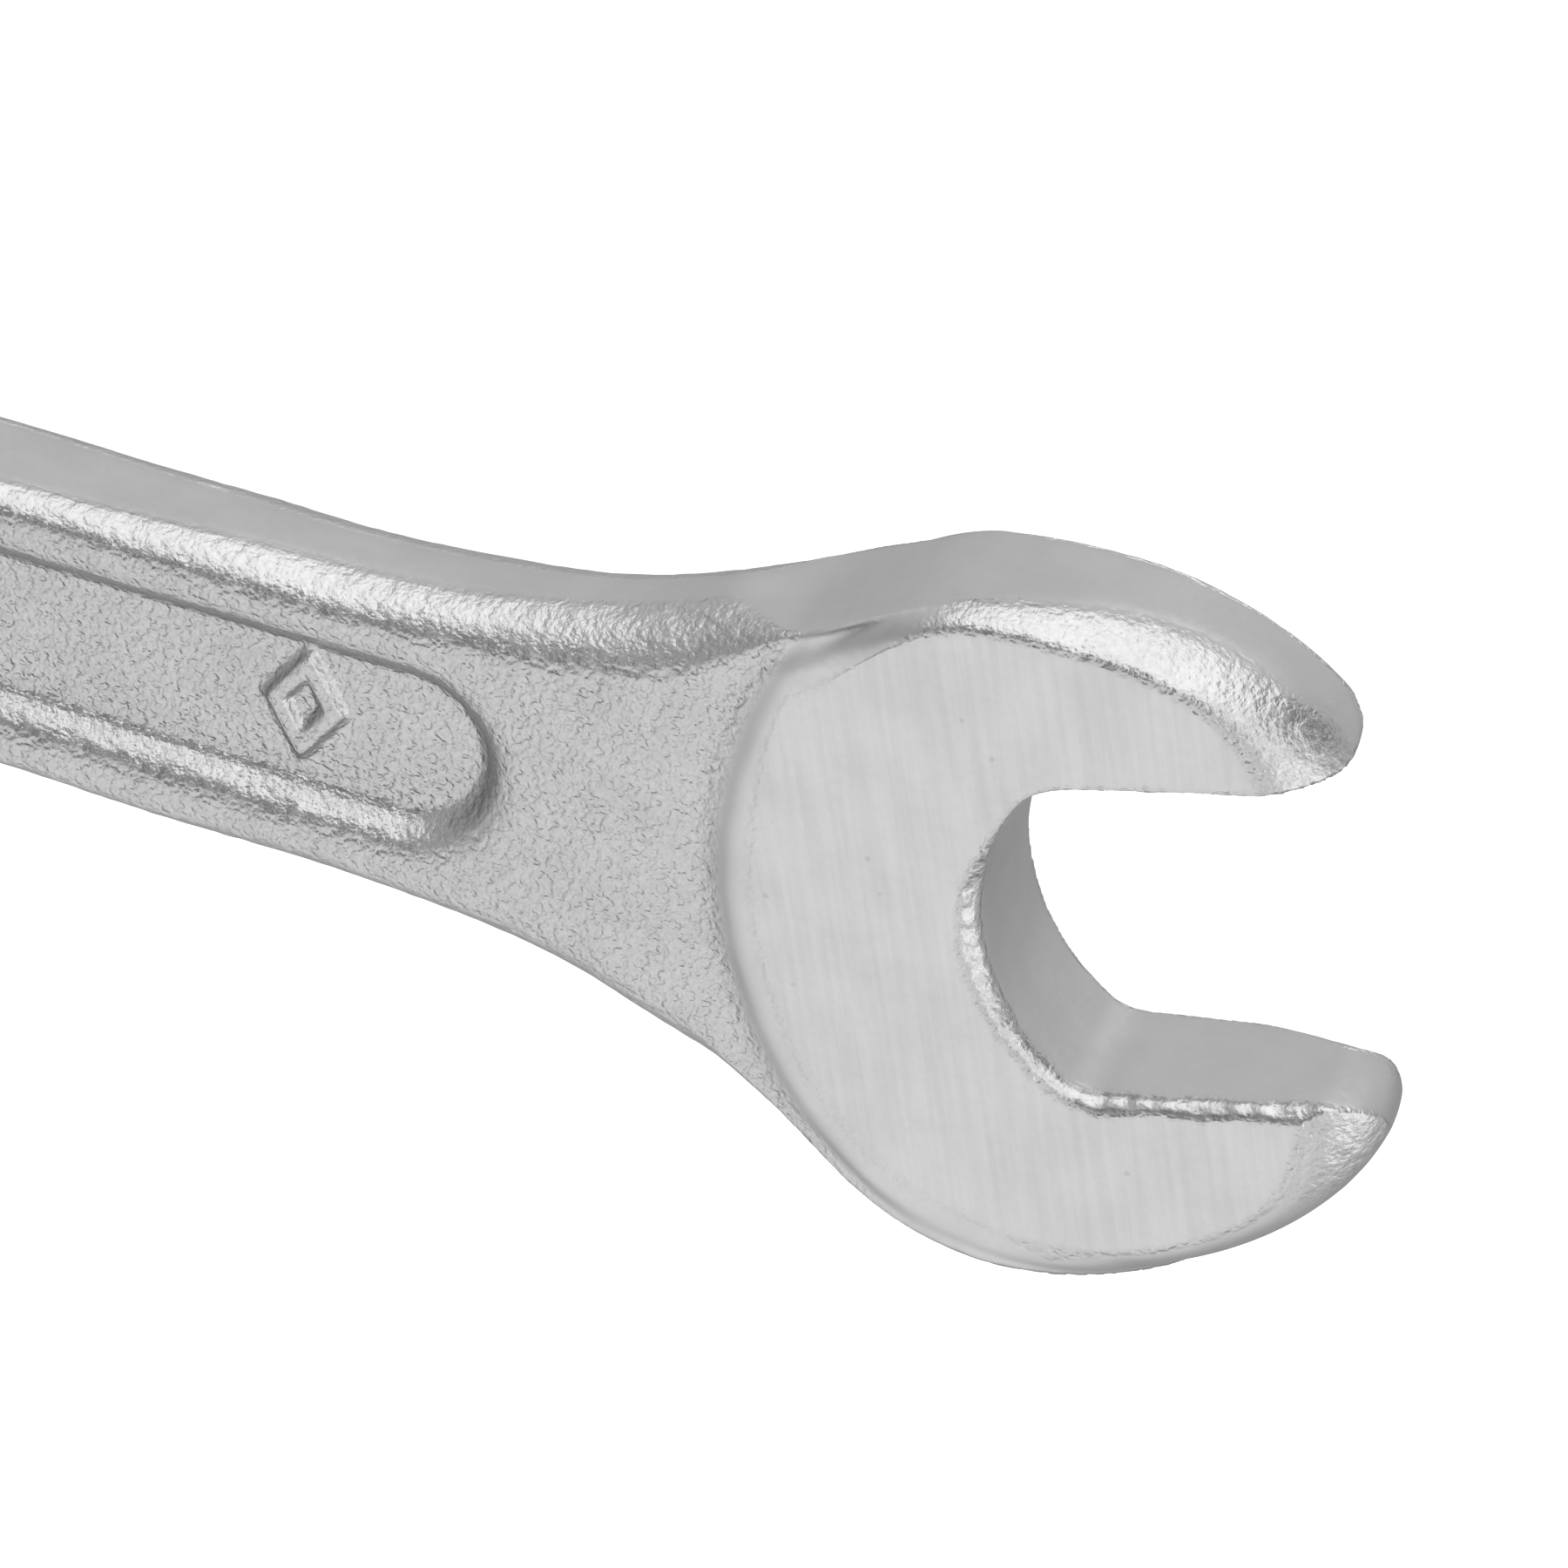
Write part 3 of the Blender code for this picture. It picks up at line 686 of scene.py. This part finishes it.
def satin_chrome(name):
    """Satin chrome over forged steel, ground faces and trimmed walls, by the point masks."""
    material = bpy.data.materials.new(name)
    material.use_nodes = True
    tree = material.node_tree
    shader = tree.nodes["Principled BSDF"]
    shader.inputs["Metallic"].default_value = 1.0
    shader.inputs["Specular Tint"].default_value = (0.7, 0.7, 0.7, 1.0)
    place = tree.nodes.new("ShaderNodeTexCoord").outputs["Object"]
    ground = mask(tree, "ground")
    wall = mask(tree, "wall")
    rough = mask(tree, "rough")

    turned = tree.nodes.new("ShaderNodeMapping")
    turned.vector_type = "TEXTURE"
    turned.inputs["Rotation"].default_value = (0.0, 0.0, JAW_ANGLE)
    turned.inputs["Scale"].default_value = (1.0, BRUSH_STRETCH, 1.0)
    tree.links.new(place, turned.inputs["Vector"])
    brushed = noise(tree, turned.outputs["Vector"], GRAIN_SIZE, 2.0, 0.6)

    fine = noise(tree, place, FINE_SIZE, 2.0)
    grain = noise(tree, place, GRAIN_SIZE, 2.0)
    dents = noise(tree, place, DENT_SIZE, 1.0)
    broad = noise(tree, place, BROAD_SIZE, 3.0)
    pits = tree.nodes.new("ShaderNodeTexVoronoi")
    pits.inputs["Scale"].default_value = 1.0 / (PIT_SPACING * MM)
    tree.links.new(place, pits.inputs["Vector"])
    pit = spread(tree, pits.outputs["Distance"], 0.06, 0.14, 1.0, 0.0)
    sparse = spread(tree, noise(tree, place, 1.4, 1.0), 0.56, 0.62, 0.0, 1.0)
    pit = math_node(tree, "MULTIPLY", math_node(tree, "MULTIPLY", pit, sparse), ground)

    forged = math_node(tree, "SUBTRACT", 1.0, math_node(tree, "MAXIMUM", ground, wall))
    hollow = spread(tree, dents, 0.25, 0.60, -1.0, 0.0)
    plain = math_node(tree, "SUBTRACT", forged, math_node(tree, "MULTIPLY", rough, forged))
    peel = math_node(tree, "MULTIPLY", grain, math_node(tree, "MULTIPLY", forged, PEEL_HEIGHT))
    dimples = math_node(tree, "MULTIPLY", hollow, math_node(tree, "MULTIPLY", plain, DIMPLE_HEIGHT))
    coarse = math_node(tree, "MULTIPLY", fine, math_node(tree, "MULTIPLY", rough, COARSE_HEIGHT))
    lines = math_node(tree, "MULTIPLY", brushed, math_node(tree, "MULTIPLY", ground, LINE_HEIGHT))
    skin = math_node(tree, "MULTIPLY", fine, math_node(tree, "MULTIPLY", wall, SKIN_HEIGHT))
    holes = math_node(tree, "MULTIPLY", pit, -PIT_DEPTH)
    height = math_node(tree, "ADD", math_node(tree, "ADD", peel, coarse), lines)
    height = math_node(tree, "ADD", math_node(tree, "ADD", height, skin), holes)
    height = math_node(tree, "ADD", height, dimples)
    bump = tree.nodes.new("ShaderNodeBump")
    bump.inputs["Strength"].default_value = 1.0
    bump.inputs["Distance"].default_value = MM
    tree.links.new(height, bump.inputs["Height"])
    tree.links.new(bump.outputs["Normal"], shader.inputs["Normal"])

    shade = spread(tree, broad, 0.3, 0.7, METAL * 0.97, METAL * 1.03)
    # painted shade: the base colour is made darker in the pits of the ground faces, besides their
    # real dent in the bump
    shade = math_node(tree, "SUBTRACT", shade, math_node(tree, "MULTIPLY", pit, 0.08))
    speckle = spread(tree, fine, 0.3, 0.7, -0.06, 0.0)
    shade = math_node(tree, "ADD", shade, math_node(tree, "MULTIPLY", speckle, forged))
    streak = spread(tree, brushed, 0.3, 0.7, -0.02, 0.02)
    shade = math_node(tree, "ADD", shade, math_node(tree, "MULTIPLY", streak, ground))
    tint = tree.nodes.new("ShaderNodeCombineColor")
    for channel in tint.inputs:
        tree.links.new(shade, channel)
    tree.links.new(tint.outputs["Color"], shader.inputs["Base Color"])

    gloss = spread(tree, grain, 0.3, 0.7, ROUGHNESS - 0.03, ROUGHNESS + 0.05)
    gloss = math_node(tree, "ADD", gloss, math_node(tree, "MULTIPLY", rough, 0.04))
    gloss = math_node(tree, "SUBTRACT", gloss, math_node(tree, "MULTIPLY", ground, 0.04))
    tree.links.new(gloss, shader.inputs["Roughness"])
    return material


# ---------------------------------------------------------------- pieces

MASKS = ("ground", "wall", "rough")
CAP_CORNERS = 8                   # a face with more corners than this is a flat cap


def section(name, points, faces, normals, marks, low, high, material, slot):
    """One piece: the part of the surface between two planes across the wrench, with flat ends."""
    margin = 2.0 * STEP
    middle = points[faces][:, :, 0].mean(axis=1)
    chosen = faces[(middle > low - margin) & (middle < high + margin)]
    used, local = np.unique(chosen, return_inverse=True)
    local = local.reshape(chosen.shape)
    placed = (points[used] + HEAD_CENTRE) * MM
    mesh = bpy.data.meshes.new(name)
    mesh.vertices.add(len(used))
    mesh.vertices.foreach_set("co", placed.ravel())
    mesh.loops.add(local.size)
    mesh.loops.foreach_set("vertex_index", local.ravel().astype(np.int32))
    mesh.polygons.add(len(local))
    mesh.polygons.foreach_set("loop_start", np.arange(0, local.size, 4, dtype=np.int32))
    mesh.update(calc_edges=True)
    for mark_name in MASKS:
        layer = mesh.attributes.new(mark_name, "FLOAT", "POINT")
        layer.data.foreach_set("value", marks[mark_name][used].astype(np.float32))
    layer = mesh.attributes.new("whole_normal", "FLOAT_VECTOR", "POINT")
    layer.data.foreach_set("vector", normals[used].astype(np.float32).ravel())

    soup = bmesh.new()
    soup.from_mesh(mesh)
    for place, side in ((low, -1.0), (high, 1.0)):
        if abs(place) == FAR:
            continue
        cut = bmesh.ops.bisect_plane(
            soup,
            geom=soup.verts[:] + soup.edges[:] + soup.faces[:],
            dist=1e-8,
            plane_co=((place + HEAD_CENTRE[0]) * MM, 0.0, 0.0),
            plane_no=(side, 0.0, 0.0),
            clear_outer=True,
        )
        rim = [e for e in cut["geom_cut"] if isinstance(e, bmesh.types.BMEdge) and e.is_boundary]
        for edge in rim:
            edge.smooth = False
        caps = bmesh.ops.holes_fill(soup, edges=rim, sides=0)["faces"]
        for cap in caps:
            cap.smooth = False
            cap.normal_update()
            if cap.normal.x * side < 0.0:
                cap.normal_flip()
    for face in soup.faces:
        face.smooth = len(face.verts) <= CAP_CORNERS
    soup.to_mesh(mesh)
    soup.free()

    whole = np.zeros(len(mesh.vertices) * 3, dtype=np.float32)
    mesh.attributes["whole_normal"].data.foreach_get("vector", whole)
    whole = whole.reshape(-1, 3)
    corner = np.zeros(len(mesh.loops), dtype=np.int32)
    mesh.loops.foreach_get("vertex_index", corner)
    shading = whole[corner]
    for polygon in mesh.polygons:
        if polygon.loop_total > CAP_CORNERS:
            shading[polygon.loop_start:polygon.loop_start + polygon.loop_total] = polygon.normal
    mesh.normals_split_custom_set(shading.tolist())
    mesh.attributes.remove(mesh.attributes["whole_normal"])

    mesh.materials.append(material)
    piece = bpy.data.objects.new(name, mesh)
    bpy.context.scene.collection.objects.link(piece)
    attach(piece, "root")
    return piece


def build_wrench():
    points, faces = draw_surface()
    points = even_out(settle(points), faces)
    normals = vertex_normals(points, faces)
    ground, wall, rough, ring = surface_marks(points, normals)
    points = points + normals * forged_unevenness(points, ground, wall, rough, ring)[:, None]
    normals = vertex_normals(points, faces)
    normals = blend(normals, softened(normals, faces), ramp(wall, 0.5, 0.9)[:, None])
    marks = {"ground": ground, "wall": wall, "rough": rough}
    ground_chrome = satin_chrome("ground_satin_chrome")
    forged_chrome = satin_chrome("forged_satin_chrome")
    ring_chrome = satin_chrome("ring_satin_chrome")
    surface = (points, faces, normals, marks)
    shank_end = RING_X + BOX_SPLIT
    head = section("open_head", *surface, OPEN_SPLIT, FAR, ground_chrome, "ground_head")
    front = section("shank_front", *surface, SHANK_SPLIT, OPEN_SPLIT, forged_chrome, "forged_shank")
    rear = section("shank_rear", *surface, shank_end, SHANK_SPLIT, forged_chrome, "forged_shank")
    ring_end = section("ring_end", *surface, -FAR, shank_end, ring_chrome, "ring_head")
    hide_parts("open_end")
    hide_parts("shank")
    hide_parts("shank")
    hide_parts("box_end")
    for piece in (head, front, rear, ring_end):
        print(piece.name, len(piece.data.vertices), "vertices", len(piece.data.polygons), "faces")


# ---------------------------------------------------------------- studio

def make_floor():
    """A pale floor that glows a little, so that it stays an even white."""
    mesh = bpy.data.meshes.new("floor")
    soup = bmesh.new()
    bmesh.ops.create_grid(soup, x_segments=1, y_segments=1, size=3.0)
    soup.to_mesh(mesh)
    soup.free()
    material = bpy.data.materials.new("white_floor")
    material.use_nodes = True
    shader = material.node_tree.nodes["Principled BSDF"]
    shader.inputs["Base Color"].default_value = (0.9, 0.9, 0.9, 1.0)
    shader.inputs["Roughness"].default_value = 0.9
    shader.inputs["Emission Color"].default_value = (1.0, 1.0, 1.0, 1.0)
    shader.inputs["Emission Strength"].default_value = 0.85
    mesh.materials.append(material)
    floor = bpy.data.objects.new("floor", mesh)
    bpy.context.scene.collection.objects.link(floor)
    floor.visible_glossy = False


# Soft light from all round: each patch has a direction, the cosines where it ends and where it is
# full, and how much brighter (or darker) than the rest it is.
BASE_LIGHT = 0.66
LIGHT_PATCHES = (
    ((-0.208, -0.58, 0.788), 0.45, 0.99, 0.42),     # overhead, seen in the flat faces
    ((0.06, 0.99, 0.085), 0.70, 0.80, 1.05),        # low and broad, seen in the shoulders
    ((-0.18, 0.34, 0.92), 0.88, 0.965, -0.58),      # gap between them
    ((0.72, 0.66, -0.20), 0.90, 0.98, -0.60),       # dark corner, seen near the upper jaw's tip
    ((0.94, -0.25, 0.22), 0.86, 0.96, 0.30),        # pale end beyond the jaws
    ((-0.95, -0.25, 0.20), 0.50, 0.85, -0.25),      # darker end of the room
    ((0.25, -0.55, -0.80), 0.66, 0.93, -0.10),      # dark side, low
    ((0.892, -0.282, 0.355), 0.90, 0.96, 0.80),     # beyond the jaws, seen in the mouth's bevel
    ((0.62, 0.38, 0.69), 0.88, 0.95, 0.70),         # the same, seen in its corner
    ((0.0, 0.35, -0.94), 0.60, 0.95, 0.14),         # light sent back by the floor
)


def make_light():
    world = bpy.data.worlds.new("soft_studio")
    bpy.context.scene.world = world
    world.use_nodes = True
    tree = world.node_tree
    background = tree.nodes["Background"]
    background.inputs["Color"].default_value = (1.0, 1.0, 1.0, 1.0)
    place = tree.nodes.new("ShaderNodeTexCoord").outputs["Generated"]
    total = None
    for direction, edge, full, strength in LIGHT_PATCHES:
        dot = tree.nodes.new("ShaderNodeVectorMath")
        dot.operation = "DOT_PRODUCT"
        dot.inputs[1].default_value = Vector(direction).normalized()
        tree.links.new(place, dot.inputs[0])
        patch = tree.nodes.new("ShaderNodeMapRange")
        patch.interpolation_type = "SMOOTHSTEP"
        patch.inputs["From Min"].default_value = edge
        patch.inputs["From Max"].default_value = full
        patch.inputs["To Max"].default_value = strength
        tree.links.new(dot.outputs["Value"], patch.inputs["Value"])
        level = patch.outputs["Result"]
        total = math_node(tree, "ADD", level, BASE_LIGHT if total is None else total)
    tree.links.new(total, background.inputs["Strength"])

    plain = tree.nodes.new("ShaderNodeBackground")
    plain.inputs["Strength"].default_value = 1.0
    plain.inputs["Color"].default_value = (1.0, 1.0, 1.0, 1.0)
    seen = tree.nodes.new("ShaderNodeLightPath").outputs["Is Camera Ray"]
    mix = tree.nodes.new("ShaderNodeMixShader")
    tree.links.new(seen, mix.inputs["Fac"])
    tree.links.new(background.outputs["Background"], mix.inputs[1])
    tree.links.new(plain.outputs["Background"], mix.inputs[2])
    tree.links.new(mix.outputs["Shader"], tree.nodes["World Output"].inputs["Surface"])
    bpy.context.scene.view_settings.view_transform = "Standard"


def make_camera():
    """The photograph's viewpoint: from the side the jaws turn to, above, and rolled."""
    right = Vector((0.93651, 0.10981, -0.33302))
    up = Vector((-0.27910, 0.80837, -0.51830))
    back = right.cross(up).normalized()
    aim = Vector(HEAD_CENTRE) + Vector((-11.37, 1.75, 0.03))
    distance = 261.4
    data = bpy.data.cameras.new("camera")
    data.lens = 166.4
    data.sensor_width = 36.0
    data.clip_start = 0.01
    data.clip_end = 10.0
    camera = bpy.data.objects.new("camera", data)
    bpy.context.scene.collection.objects.link(camera)
    turn = Matrix((right, up, back)).transposed().to_4x4()
    camera.matrix_world = Matrix.Translation((aim + back * distance) * MM) @ turn
    bpy.context.scene.camera = camera


build_wrench()
make_floor()
make_light()
make_camera()
